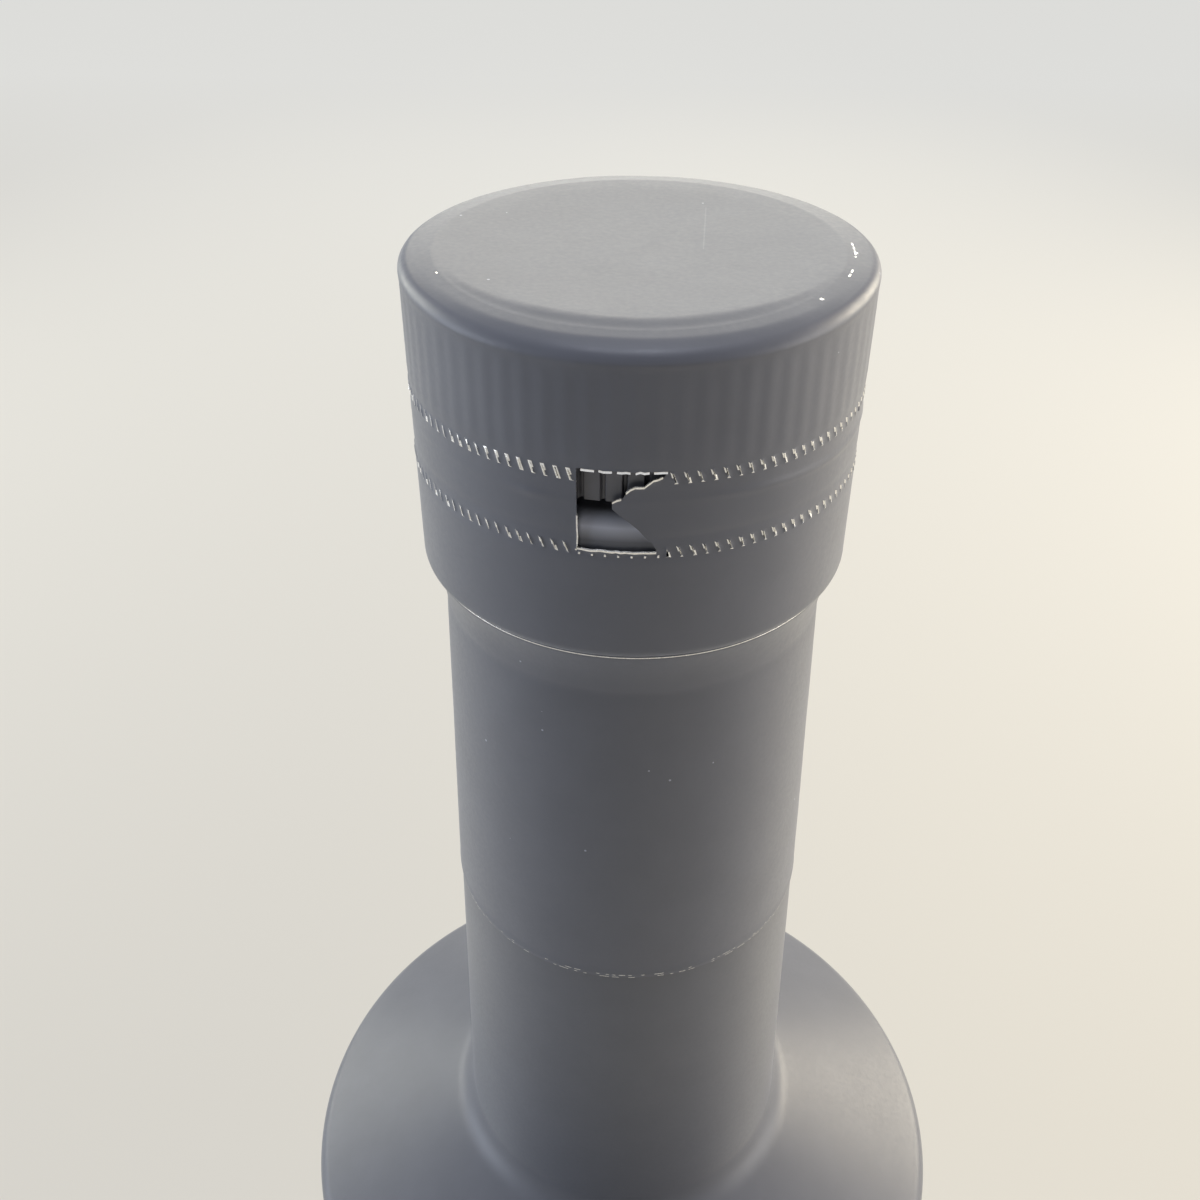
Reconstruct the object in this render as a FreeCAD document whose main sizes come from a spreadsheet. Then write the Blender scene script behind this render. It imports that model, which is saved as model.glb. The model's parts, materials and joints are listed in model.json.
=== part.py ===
import FreeCAD, Part
import os
import Sketcher

# A tall opaque spirit bottle, shut with a ribbed stopper and dressed with a
# foil capsule that has a tear strip.  Millimetres, +Z up, origin at the centre
# of the base where the bottle stands.

# Driving sizes: alias, value, what it is.
SIZES = [
    ("body_radius", 36.0, "straight body, outside"),
    ("body_height", 218.8, "base to the shoulder's round edge"),
    ("heel_round", 4.0, "round edge between body and base"),
    ("push_up_radius", 27.0, "hollow under the base, inside the bearing ring"),
    ("push_up_depth", 2.5, "how far that hollow rises at its centre"),
    ("shoulder_round", 2.0, "round edge between body and shoulder"),
    ("shoulder_slope", 25.0, "fall of the shoulder's cone, in degrees"),
    ("neck_fillet", 4.0, "hollow round between shoulder and neck"),
    ("neck_length", 71.95, "top of that round to the underside of the lip"),
    ("neck_flare", 1.78, "how much wider the neck is at its foot"),
    ("lip_radius", 16.78, "glass ring at the mouth"),
    ("lip_overhang", 1.36, "how far the ring stands out from the neck"),
    ("lip_height", 12.65, "height of the ring"),
    ("lip_top_round", 1.3, "round edge at the top of the ring"),
    ("lip_under_round", 0.7, "round edge at the bottom of the ring"),
    ("stopper_overhang", 0.05, "how far the stopper stands out from the ring"),
    ("stopper_height", 11.75, "seat on the ring to the stopper's crest"),
    ("edge_width", 2.63, "width of the stopper's round top edge"),
    ("edge_drop", 1.2, "how far that edge falls to the side"),
    ("crest_width", 1.4, "width of the flat crest between edge and dish"),
    ("dish_depth", 0.65, "hollow in the middle of the top"),
    ("rib_count", 72.0, "upright ribs round the stopper"),
    ("rib_height", 9.4, "how far up the side the ribs run"),
    ("rib_gap", 0.36, "width of the groove between two ribs"),
    ("rib_depth", 0.35, "depth of that groove"),
    ("rib_turn", 2.75, "turn of the ribs about the axis, in degrees"),
    ("foil", 0.25, "thickness of the capsule"),
    ("foil_gap", 0.05, "clearance between capsule and what it wraps"),
    ("rim_proud", 0.2, "how far the rolled rim stands out from the side"),
    ("rim_height", 0.6, "height of the rolled rim under the top edge"),
    ("sleeve_length", 36.7, "underside of the lip to the capsule's hem"),
    ("window_left", 3.72, "tear window, axis to its left edge"),
    ("window_right", 1.5, "tear window, axis to its right edge"),
    ("window_rise", 2.45, "top of the window above the stopper's seat"),
    ("window_height", 6.1, "top to bottom of the window"),
    ("tab_reach", 1.55, "axis to the tip of the strip's pointed end"),
    ("tab_drop", 2.45, "top of the window to that tip"),
]

PARTS_FOLDER = "parts"
FULL_TURN = 360
GROOVE_OVERRUN = 0.3

doc = FreeCAD.newDocument("shut_bottle")


# ---------------------------------------------------------------- the sheet

def fill_sheet():
    """Write each driving size into its own cell and name the cell."""
    sheet = doc.addObject("Spreadsheet::Sheet", "Sizes")
    for row, (alias, size, note) in enumerate(SIZES, start=1):
        sheet.set("A%d" % row, note)
        sheet.set("B%d" % row, str(size))
        sheet.setAlias("B%d" % row, alias)
    doc.recompute()
    return sheet


def s(alias):
    """How an expression names a size of the sheet."""
    return "Sizes." + alias


def number(owner, expression):
    """The value that an expression has now."""
    result = owner.evalExpression(expression)
    return float(getattr(result, "Value", result))


# -------------------------------------------------- levels and shared radii

NECK_TOP_RADIUS = "(%s - %s)" % (s("lip_radius"), s("lip_overhang"))
NECK_FOOT_RADIUS = "(%s + %s)" % (NECK_TOP_RADIUS, s("neck_flare"))
UNDER_FILLET = "(%s - %s)" % (s("lip_overhang"), s("lip_under_round"))
UNDER_CENTRE = "(%s - %s)" % (s("lip_radius"), s("lip_under_round"))

# The shoulder's cone touches the body's round edge and the neck's fillet, so
# the fillet's upper end follows from the slope and the two rounds.
BOTH_ROUNDS = "(%s + %s)" % (s("shoulder_round"), s("neck_fillet"))
SLOPE = s("shoulder_slope")
CONE_WIDTH = "(%s - %s - %s)" % (s("body_radius"), NECK_FOOT_RADIUS, BOTH_ROUNDS)
NECK_FOOT = "(%s + tan(%s) * %s + %s / cos(%s))" % (
    s("body_height"), SLOPE, CONE_WIDTH, BOTH_ROUNDS, SLOPE)
LIP_UNDER = "(%s + %s)" % (NECK_FOOT, s("neck_length"))
LIP_TOP = "(%s + %s)" % (LIP_UNDER, s("lip_height"))
HEM = "(%s - %s)" % (LIP_UNDER, s("sleeve_length"))

# The neck widens evenly from under the lip down to its foot.
NECK_RUN = "(%s - %s)" % (s("neck_length"), UNDER_FILLET)
SLEEVE_RUN = "(%s - %s)" % (s("sleeve_length"), UNDER_FILLET)
HEM_RADIUS = "(%s + %s * %s / %s)" % (
    NECK_TOP_RADIUS, s("neck_flare"), SLEEVE_RUN, NECK_RUN)

STOPPER_RADIUS = "(%s + %s)" % (s("lip_radius"), s("stopper_overhang"))
CREST_OUTER = "(%s - %s)" % (STOPPER_RADIUS, s("edge_width"))
CREST_INNER = "(%s - %s)" % (CREST_OUTER, s("crest_width"))
WRAP = "(%s + %s)" % (s("foil_gap"), s("foil"))


def flat_start_arc(run, drop):
    """Radius of an arc that starts level and falls by drop over run."""
    return "((%s ^ 2 + %s ^ 2) / (2 * %s))" % (run, drop, drop)


# ------------------------------------------------------------ sketch helpers

def plane_of(body, role):
    """One of the body's own origin planes."""
    for feature in body.Origin.OriginFeatures:
        if feature.Role == role:
            return feature
    raise RuntimeError("no origin plane " + role)


def new_sketch(body, name, role):
    sketch = body.newObject("Sketcher::SketchObject", name)
    sketch.AttachmentSupport = [(plane_of(body, role), "")]
    sketch.MapMode = "FlatFace"
    return sketch


def arc_between(start, end, radius, turn):
    """An arc from start to end, its centre to the left or right of the way."""
    chord = end - start
    middle = (start + end) * 0.5
    left = FreeCAD.Vector(-chord.y, chord.x, 0).normalize()
    height = (radius ** 2 - (chord.Length / 2) ** 2) ** 0.5
    side = 1 if turn == "left" else -1
    centre = middle + left * (height * side)
    first, last = (start, end) if turn == "left" else (end, start)
    circle = Part.Circle(centre, FreeCAD.Vector(0, 0, 1), radius)
    return Part.ArcOfCircle(circle, circle.parameter(first), circle.parameter(last))


def bind(sketch, kind, geometry, size, expression):
    """Add a constraint with a size and tie it to the sheet."""
    index = sketch.addConstraint(Sketcher.Constraint(kind, *geometry, size))
    sketch.setExpression("Constraints[%d]" % index, expression)


def pin_coordinate(sketch, kind, axis, spot, expression):
    """Fix one coordinate of a corner, measured from the sketch's origin."""
    size = number(sketch, expression)
    if abs(size) < 1e-9:
        sketch.addConstraint(Sketcher.Constraint("PointOnObject", *spot, axis))
    elif size > 0:
        bind(sketch, kind, (-1, 1) + spot, size, expression)
    else:
        bind(sketch, kind, spot + (-1, 1), -size, "-(%s)" % expression)


def draw_outline(sketch, corners):
    """Draw a closed outline and bind it.

    A corner is (x, y), reached by a straight line, or (x, y, radius, turn),
    reached by an arc; every size is an expression.
    """
    spots = []
    for corner in corners:
        x, y = number(sketch, corner[0]), number(sketch, corner[1])
        spots.append(FreeCAD.Vector(x, y, 0))
    ends = []
    for index, corner in enumerate(corners):
        start, end = spots[index - 1], spots[index]
        if len(corner) == 2:
            sketch.addGeometry(Part.LineSegment(start, end), False)
            ends.append((1, 2))
        else:
            radius, turn = number(sketch, corner[2]), corner[3]
            sketch.addGeometry(arc_between(start, end, radius, turn), False)
            ends.append((1, 2) if turn == "left" else (2, 1))
    for index in range(len(corners)):
        after = (index + 1) % len(corners)
        joint = (index, ends[index][1], after, ends[after][0])
        sketch.addConstraint(Sketcher.Constraint("Coincident", *joint))
    for index, corner in enumerate(corners):
        spot = (index, ends[index][1])
        pin_coordinate(sketch, "DistanceX", -2, spot, corner[0])
        pin_coordinate(sketch, "DistanceY", -1, spot, corner[1])
        if len(corner) > 2:
            bind(sketch, "Radius", (index,), number(sketch, corner[2]), corner[2])
    doc.recompute()


def new_body(name):
    body = doc.addObject("PartDesign::Body", name)
    body.Label = name
    return body


def revolve(body, corners):
    """Turn an outline in the XZ plane about the body's Z axis."""
    sketch = new_sketch(body, body.Name + "_outline", "XZ_Plane")
    draw_outline(sketch, corners)
    turned = body.newObject("PartDesign::Revolution", body.Name + "_turned")
    turned.Profile = sketch
    turned.ReferenceAxis = (sketch, ["V_Axis"])
    turned.Angle = FULL_TURN
    doc.recompute()
    return turned


def pocket(body, name, role, corners, length, reverse):
    """Cut an outline away, and make sure that it takes something off."""
    before = body.Shape.Volume
    sketch = new_sketch(body, name + "_outline", role)
    draw_outline(sketch, corners)
    cut = body.newObject("PartDesign::Pocket", name)
    cut.Profile = sketch
    cut.Reversed = reverse
    cut.setExpression("Length", length)
    doc.recompute()
    if not cut.Shape.Volume < before:
        raise RuntimeError(name + " cuts nothing")
    return cut


# ---------------------------------------------------------------- the pieces

def make_bottle():
    """The glass: body, sloping shoulder, slim neck and the ring at its mouth."""
    body = new_body("bottle")
    sin_slope = "sin(%s)" % SLOPE
    cos_slope = "cos(%s)" % SLOPE
    round_centre = "(%s - %s)" % (s("body_radius"), s("shoulder_round"))
    fillet_centre = "(%s + %s)" % (NECK_FOOT_RADIUS, s("neck_fillet"))
    push_up = flat_start_arc(s("push_up_radius"), s("push_up_depth"))
    revolve(body, [
        ("0", s("push_up_depth")),
        (s("push_up_radius"), "0", push_up, "right"),
        ("%s - %s" % (s("body_radius"), s("heel_round")), "0"),
        (s("body_radius"), s("heel_round"), s("heel_round"), "left"),
        (s("body_radius"), s("body_height")),
        ("%s + %s * %s" % (round_centre, s("shoulder_round"), sin_slope),
         "%s + %s * %s" % (s("body_height"), s("shoulder_round"), cos_slope),
         s("shoulder_round"), "left"),
        ("%s - %s * %s" % (fillet_centre, s("neck_fillet"), sin_slope),
         "%s - %s * %s" % (NECK_FOOT, s("neck_fillet"), cos_slope)),
        (NECK_FOOT_RADIUS, NECK_FOOT, s("neck_fillet"), "right"),
        (NECK_TOP_RADIUS, "%s - %s" % (LIP_UNDER, UNDER_FILLET)),
        (UNDER_CENTRE, LIP_UNDER, UNDER_FILLET, "right"),
        (s("lip_radius"), "%s + %s" % (LIP_UNDER, s("lip_under_round")),
         s("lip_under_round"), "left"),
        (s("lip_radius"), "%s - %s" % (LIP_TOP, s("lip_top_round"))),
        ("%s - %s" % (s("lip_radius"), s("lip_top_round")), LIP_TOP,
         s("lip_top_round"), "left"),
        ("0", LIP_TOP),
    ])
    return body


def make_stopper():
    """The stopper's head, which sits on the glass ring: ribbed side, dished top."""
    body = new_body("stopper")
    crest = s("stopper_height")
    depth = "(%s + %s)" % (s("dish_depth"), s("foil_gap"))
    revolve(body, [
        ("0", "0"),
        (STOPPER_RADIUS, "0"),
        (STOPPER_RADIUS, "%s - %s" % (crest, s("edge_drop"))),
        (CREST_OUTER, crest, flat_start_arc(s("edge_width"), s("edge_drop")), "left"),
        (CREST_INNER, crest),
        ("0", "%s - %s" % (crest, depth),
         flat_start_arc(CREST_INNER, depth), "right"),
    ])
    mouth = "-(%s + %g)" % (STOPPER_RADIUS, GROOVE_OVERRUN)
    floor = "-(%s - %s)" % (STOPPER_RADIUS, s("rib_depth"))
    half = "%s / 2" % s("rib_gap")
    groove = pocket(body, "rib_groove", "XY_Plane", [
        ("-(%s)" % half, mouth),
        (half, mouth),
        (half, floor),
        ("-(%s)" % half, floor),
    ], s("rib_height"), True)
    ring = body.newObject("PartDesign::PolarPattern", "rib_grooves")
    ring.Originals = [groove]
    ring.Axis = (groove.Profile[0], ["N_Axis"])
    ring.Angle = FULL_TURN
    ring.setExpression("Occurrences", s("rib_count"))
    body.Tip = ring
    body.setExpression("Placement.Base.z", LIP_TOP)
    body.setExpression("Placement.Rotation.Angle", s("rib_turn"))
    doc.recompute()
    return body


def make_capsule():
    """The foil: dished top, rolled rim, side, glass ring's band and neck sleeve.

    It is drawn from its hem upwards, outside first, then back down the inside.
    """
    body = new_body("capsule")
    seat = "(%s + %s)" % (s("sleeve_length"), s("lip_height"))
    under = "(%s + %s)" % (seat, s("stopper_height"))
    top = "(%s + %s)" % (under, s("foil"))
    side = "(%s + %s)" % (STOPPER_RADIUS, WRAP)
    side_inside = "(%s + %s)" % (STOPPER_RADIUS, s("foil_gap"))
    rim = "(%s + %s)" % (side, s("rim_proud"))
    rim_drop = "(%s + %s)" % (s("edge_drop"), s("foil"))
    rim_top = "(%s - %s)" % (top, rim_drop)
    rim_under = "(%s - %s)" % (rim_top, s("rim_height"))
    rim_run = "(%s - %s)" % (rim, CREST_OUTER)
    inner_run = "(%s + %s)" % (s("edge_width"), s("foil_gap"))
    bend = "(%s - %s)" % (s("sleeve_length"), UNDER_FILLET)
    dish = flat_start_arc(CREST_INNER, s("dish_depth"))

    def lip_wrap(offset):
        """The foil's way from the neck up over the underside of the ring."""
        lower = (NECK_TOP_RADIUS + " + " + offset, bend)
        hollow = (UNDER_CENTRE, "%s - %s" % (s("sleeve_length"), offset),
                  "%s - %s" % (UNDER_FILLET, offset), "right")
        bulge = ("%s + %s" % (s("lip_radius"), offset),
                 "%s + %s" % (s("sleeve_length"), s("lip_under_round")),
                 "%s + %s" % (s("lip_under_round"), offset), "left")
        return lower, hollow, bulge

    lower_out, hollow_out, bulge_out = lip_wrap(WRAP)
    lower_in, hollow_in, bulge_in = lip_wrap(s("foil_gap"))
    revolve(body, [
        ("%s + %s" % (HEM_RADIUS, WRAP), "0"),
        lower_out,
        hollow_out,
        bulge_out,
        (side, seat),
        (side, "%s - %s" % (rim_under, s("rim_proud"))),
        (rim, rim_under),
        (rim, rim_top),
        (CREST_OUTER, top, flat_start_arc(rim_run, rim_drop), "left"),
        (CREST_INNER, top),
        ("0", "%s - %s" % (top, s("dish_depth")), dish, "right"),
        ("0", "%s - %s" % (under, s("dish_depth"))),
        (CREST_INNER, under, dish, "left"),
        (CREST_OUTER, under),
        (side_inside, "%s - %s" % (under, s("edge_drop")),
         flat_start_arc(inner_run, s("edge_drop")), "right"),
        (side_inside, seat),
        (bulge_in[0], bulge_in[1]),
        (hollow_in[0], hollow_in[1], bulge_in[2], "right"),
        (lower_in[0], lower_in[1], hollow_in[2], "left"),
        ("%s + %s" % (HEM_RADIUS, s("foil_gap")), "0"),
    ])
    window_top = "(%s + %s)" % (seat, s("window_rise"))
    window_foot = "(%s - %s)" % (window_top, s("window_height"))
    pocket(body, "tear_window", "XZ_Plane", [
        ("-" + s("window_left"), window_top),
        (s("window_right"), window_top),
        ("-" + s("tab_reach"), "%s - %s" % (window_top, s("tab_drop"))),
        (s("window_right"), window_foot),
        ("-" + s("window_left"), window_foot),
    ], s("body_radius"), True)
    body.setExpression("Placement.Base.z", HEM)
    doc.recompute()
    return body


# ---------------------------------------------------------- checks and files

def check_document():
    """Stop on any object that failed to build."""
    for thing in doc.Objects:
        if "Invalid" in thing.State or "Error" in thing.State:
            raise RuntimeError("%s failed: %s" % (thing.Name, thing.State))


def write_parts(bodies):
    os.makedirs(PARTS_FOLDER, exist_ok=True)
    for body in bodies:
        shape = body.Shape
        if shape.isNull() or not shape.isValid() or len(shape.Solids) != 1:
            raise RuntimeError(body.Label + " is not one sound solid")
    for body in bodies:
        shape = body.Shape
        box = shape.optimalBoundingBox(False)
        shape.exportStep(os.path.join(PARTS_FOLDER, body.Label + ".step"))
        print("%-8s volume %10.1f mm3, z %7.2f to %7.2f, width %6.2f" % (
            body.Label, shape.Volume, box.ZMin, box.ZMax, box.XLength))


fill_sheet()
PIECES = [make_bottle(), make_stopper(), make_capsule()]
doc.recompute()
check_document()
write_parts(PIECES)
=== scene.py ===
"""A shut bottle of whisky under a foil capsule whose tear strip has been started.

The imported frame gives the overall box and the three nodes: bottle, stopper and capsule.
The bottle and the stopper are turned from rings of points, and the capsule is drawn up from its
hem, perforated, torn open and given the thickness of its foil.
An azimuth counts from the front (-Y) towards +X, so it grows to the right.
"""

import json
import math
import random

import bmesh
import bpy
from mathutils import Matrix, Vector

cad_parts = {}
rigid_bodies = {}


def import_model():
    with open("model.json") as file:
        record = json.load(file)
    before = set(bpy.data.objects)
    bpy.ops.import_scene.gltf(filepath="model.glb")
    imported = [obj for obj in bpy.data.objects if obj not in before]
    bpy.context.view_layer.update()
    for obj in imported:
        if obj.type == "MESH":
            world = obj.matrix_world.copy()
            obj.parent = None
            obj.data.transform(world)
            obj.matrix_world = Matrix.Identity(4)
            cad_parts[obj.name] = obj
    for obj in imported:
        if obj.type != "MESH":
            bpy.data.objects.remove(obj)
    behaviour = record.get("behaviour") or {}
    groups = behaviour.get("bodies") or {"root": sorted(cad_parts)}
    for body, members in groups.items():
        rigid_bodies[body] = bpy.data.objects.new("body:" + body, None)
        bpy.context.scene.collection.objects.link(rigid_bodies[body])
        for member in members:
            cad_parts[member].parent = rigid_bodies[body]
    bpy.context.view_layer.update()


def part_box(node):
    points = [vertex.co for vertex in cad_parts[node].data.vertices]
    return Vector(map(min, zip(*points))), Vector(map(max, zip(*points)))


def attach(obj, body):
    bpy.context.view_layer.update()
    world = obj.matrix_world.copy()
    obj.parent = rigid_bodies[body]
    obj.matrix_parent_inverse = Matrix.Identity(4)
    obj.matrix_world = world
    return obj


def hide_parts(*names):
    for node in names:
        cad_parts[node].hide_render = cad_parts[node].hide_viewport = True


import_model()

bl_info = {
    "name": "Whisky bottle",
    "version": (1, 0, 0),
    "blender": (4, 5, 0),
    "location": "3D View > Sidebar > Bottle",
    "description": "Builds a shut whisky bottle with a foil capsule whose tear strip is started",
    "category": "Add Mesh",
}

MM = 0.001
BOTTLE_LOW, BOTTLE_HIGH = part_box("bottle")
STOPPER_LOW, STOPPER_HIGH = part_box("stopper")
CAPSULE_LOW, CAPSULE_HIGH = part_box("capsule")
AXIS = (0.0, 0.0, 0.0)

# Heights of rings that the capsule's outline and its painted highlight lines of bare foil share.
HEM_RINGS = (0.05 * MM, 0.28 * MM, 0.33 * MM)
FOOT_DROP = 0.25 * MM
CREASE_RINGS = (-0.3 * MM, -0.22 * MM)
TOP_RISE = 9 * MM

FLOOR_RADIUS = 12.0
FLOOR_GLOW = 0.7
LAMP_AIM = Vector((0.0, 0.0, 0.25))
# Name, place, size in metres and colour of each lamp; the powers are in the studio's sizes.
LAMPS = (
    ("top_lamp", (0.0, 0.0, 1.2), 0.4, (0.86, 0.9, 1.0)),
    ("back_lamp", (0.0, 1.1, 0.75), 0.8, (1.0, 0.97, 0.84)),
    ("right_back_lamp", (0.8, 0.5, 0.5), 0.5, (1.0, 0.9, 0.71)),
    ("left_back_lamp", (-0.8, 0.5, 0.5), 0.5, (1.0, 1.0, 0.89)),
    ("right_lamp", (0.95, -0.1, 0.36), 0.6, (1.0, 0.96, 0.9)),
    ("left_lamp", (-0.95, -0.1, 0.36), 0.6, (0.8, 0.88, 1.0)),
)


# ---------------------------------------------------------------- sizes and colours

def length(name, description, millimetres):
    """A size that the user can change, given in millimetres and kept in metres."""
    return bpy.props.FloatProperty(
        name=name, description=description, default=millimetres * MM,
        unit="LENGTH", subtype="DISTANCE", precision=5)


def turn(name, description, degrees):
    """An angle that the user can change."""
    return bpy.props.FloatProperty(
        name=name, description=description, default=math.radians(degrees),
        unit="ROTATION", subtype="ANGLE")


def tint(name, description, red, green, blue):
    """A colour that the user can change."""
    return bpy.props.FloatVectorProperty(
        name=name, description=description, default=(red, green, blue, 1.0),
        subtype="COLOR", size=4, min=0.0, max=1.0)


def number_of(name, description, value):
    """A count that the user can change."""
    return bpy.props.IntProperty(name=name, description=description, default=value, min=3)


def amount(name, description, value):
    """A plain factor that the user can change."""
    return bpy.props.FloatProperty(name=name, description=description, default=value)


class WHISKY_PG_glass(bpy.types.PropertyGroup):
    """Sizes of the glass bottle."""

    columns: number_of("Columns", "Points round the bottle", 240)
    push_up_radius: length("Push-up radius", "Radius of the hollow under the base", 27.0)
    push_up_depth: length("Push-up depth", "Depth of the hollow under the base", 2.5)
    heel_round: length("Heel round", "Rounding between the base and the body", 4.0)
    body_height: length("Body height", "Height at which the straight body ends", 218.8)
    shoulder_round: length("Shoulder round", "Rounding of the shoulder's edge", 2.0)
    shoulder_slope: turn("Shoulder slope", "Slope of the shoulder's cone", 25.0)
    neck_fillet: length("Neck fillet", "Hollow rounding between shoulder and neck", 4.0)
    neck_length: length("Neck length", "From the neck's foot to the ring of the mouth", 71.95)
    neck_flare: length("Neck flare", "How much wider the neck is at its foot", 1.78)
    lip_height: length("Ring height", "Height of the ring round the mouth", 12.65)
    lip_radius: length("Ring radius", "Radius of the ring round the mouth", 16.78)
    lip_overhang: length("Ring overhang", "How far the ring stands out from the neck", 1.36)
    lip_top_round: length("Ring top round", "Rounding of the ring's upper edge", 1.2)
    mouth_radius: length("Mouth radius", "Radius of the glass just under the stopper", 15.1)
    mouth_height: length("Mouth height", "From the top of the ring up to the stopper", 0.8)
    lip_under_round: length("Ring under round", "Rounding of the ring's lower edge", 0.7)


class WHISKY_PG_stopper(bpy.types.PropertyGroup):
    """Sizes of the stopper."""

    inset: length("Inset", "How far the ribs stay inside the packed stopper", 0.15)
    ribs: number_of("Ribs", "Upright ribs round the stopper", 72)
    rib_columns: number_of("Rib columns", "Points round one rib", 10)
    rib_height: length("Rib height", "How far up the side the ribs run", 9.0)
    rib_depth: length("Rib depth", "Depth of the groove between two ribs", 0.35)
    rib_turn: turn("Rib turn", "Azimuth of one groove", 2.75)
    top_height: length("Top height", "From the seat up to the middle of the top", 10.8)
    top_round: length("Top round", "Height over which the top's edge rounds off", 1.5)


class WHISKY_PG_capsule(bpy.types.PropertyGroup):
    """Sizes of the foil capsule."""

    columns: number_of("Columns", "Points round the capsule", 359)
    foil: length("Foil", "Thickness of the foil", 0.1)
    hem_stand: length("Hem stand", "How far the hem stands off the glass", 0.15)
    sleeve_stand: length("Sleeve stand", "How far the sleeve's face stands off the glass", 0.17)
    band_radius: length("Band radius", "Radius of the band over the ring", 17.08)
    row_nip: length("Row nip", "How far the wall draws in at the upper row of slits", 0.06)
    side_radius: length("Side radius", "Radius of the fluted side", 17.13)
    rim_radius: length("Rim radius", "Radius at the widest point of the rim", 17.17)
    rim_height: length("Rim height", "From the upper row to the rim's widest point", 8.65)
    rim_round: length("Rim round", "Rounding of the rim", 0.85)
    rim_turn: turn("Rim turn", "How far the rim's round reaches", 80.0)
    edge_radius: length("Edge radius", "Radius of the top's crisp edge", 14.7)
    edge_height: length("Edge height", "From the upper row to the top's crisp edge", 9.72)
    dish_depth: length("Dish depth", "Depth of the dish in the top", 0.22)
    front_edge: length("Front edge", "Radius of the crisp edge at the front", 13.6)
    front_drop: length("Front drop", "How far the rim is pressed down at the front", 0.52)
    row_drop: length("Row drop", "From the packed top down to the upper row of slits", 10.3)
    row_apart: length("Row spacing", "From the upper row of slits to the lower row", 5.7)
    slit_rise: length("Slit rise", "How far the slits' middle lies above their row", 0.3)
    slit_reach: length("Slit reach", "Half the height of a slit", 0.45)
    slit_margin: length("Slit margin", "Plain wall above and below each slit", 0.05)
    slit_lip: length("Slit lip", "Width of the torn lip round a slit", 0.095)
    slit_lift: length("Slit lift", "How far the torn lips stand out", 0.05)
    slit_lean: amount("Slit lean", "Lean of each slit, in columns at each end", 0.5)
    tear_start: turn("Tear start", "Azimuth of the tear window's right side", 7.3)
    tear_columns: number_of("Tear columns", "Columns that the tear window is wide", 20)
    tab_columns: number_of("Tab columns", "Columns that the torn tab is long", 12)
    flutes: number_of("Flutes", "Soft flutes round the side", 72)
    flute_depth: length("Flute depth", "Depth of the flutes", 0.03)


class WHISKY_PG_finish(bpy.types.PropertyGroup):
    """Colours of the finishes."""

    foil_colour: tint("Foil lacquer", "Matt slate lacquer on the foil", 0.178, 0.186, 0.224)
    glass_colour: tint("Glass lacquer", "Slate lacquer on the glass", 0.168, 0.175, 0.207)
    bare_colour: tint("Bare foil", "Torn aluminium", 0.97, 0.96, 0.93)
    stopper_colour: tint("Stopper", "Dark plastic of the stopper", 0.16, 0.16, 0.18)
    floor_colour: tint("Floor", "Plain pale floor", 0.80, 0.785, 0.75)
    left_glow: tint("Left glow", "Glow of the floor on the left", 0.63, 0.61, 0.57)
    right_glow: tint("Right glow", "Glow of the floor on the right", 0.72, 0.68, 0.60)
    far_glow: tint("Far glow", "Glow of the floor far away", 1.0, 1.0, 0.97)


class WHISKY_PG_studio(bpy.types.PropertyGroup):
    """The camera and the lamps."""

    camera_back: length("Camera back", "How far the camera stands in front of the axis", 87.22)
    camera_above: length("Camera above", "Height of the camera above the upper row", 41.03)
    camera_down: turn("Camera down", "How far the camera looks down", 35.678)
    camera_left: turn("Camera left", "How far the camera looks to the left", 1.592)
    camera_roll: turn("Camera roll", "Roll of the camera", 0.205)
    camera_lens: amount("Lens", "Focal length in millimetres on a 36 mm sensor", 37.5)
    camera_shift: amount("Shift", "Sideways shift of the lens", -0.0029)
    top_lamp: amount("Top lamp", "Power of the lamp overhead, in watts", 2.8)
    back_lamp: amount("Back lamp", "Power of the lamp behind, in watts", 4.1)
    right_back_lamp: amount("Right back lamp", "Power of the lamp behind on the right, in watts", 8.6)
    left_back_lamp: amount("Left back lamp", "Power of the lamp behind on the left, in watts", 3.9)
    right_lamp: amount("Right lamp", "Power of the lamp on the right, in watts", 3.9)
    left_lamp: amount("Left lamp", "Power of the lamp on the left, in watts", 3.9)
    sky: amount("Sky", "Strength of the pale sky, seen directly and in gloss", 0.75)


# ---------------------------------------------------------------- modelling helpers

def start_clean():
    """Leave edit mode and deselect everything."""
    if bpy.context.object and bpy.context.object.mode != "OBJECT":
        bpy.ops.object.mode_set(mode="OBJECT")
    bpy.ops.object.select_all(action="DESELECT")


def azimuth_of(place):
    """Azimuth in radians, from the front towards +X."""
    return math.atan2(place.x, -place.y)


def radius_of(place):
    """Distance from the axis."""
    return math.hypot(place.x, place.y)


def add_arc(rings, centre, radius, start, end, steps):
    """Add rings along a round corner about a centre, as (radius, height)."""
    for step in range(1, steps + 1):
        angle = math.radians(start + (end - start) * step / steps)
        rings.append((centre[0] + radius * math.cos(angle), centre[1] + radius * math.sin(angle)))


def add_line(rings, end, steps=1):
    """Add rings along a straight line from the last ring to an end."""
    start = rings[-1]
    for step in range(1, steps + 1):
        part = step / steps
        rings.append((start[0] + (end[0] - start[0]) * part,
                      start[1] + (end[1] - start[1]) * part))


def add_ring(name, columns, ring, fill="NOTHING", start=0.0):
    """Add a ring of points at a (radius, height), with a column at the azimuth start."""
    start_clean()
    pitch = math.tau / columns
    bpy.ops.mesh.primitive_circle_add(vertices=columns, radius=ring[0], fill_type=fill,
                                      location=(0, 0, ring[1]), rotation=(0, 0, 0))
    piece = bpy.context.object
    piece.name = name
    piece.data.name = name
    first = max(piece.data.vertices, key=lambda point: radius_of(point.co))
    piece.rotation_euler.z = (start - azimuth_of(first.co)) % pitch
    bpy.ops.object.transform_apply(location=True, rotation=True, scale=True)
    bpy.ops.object.mode_set(mode="EDIT")
    return piece


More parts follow.
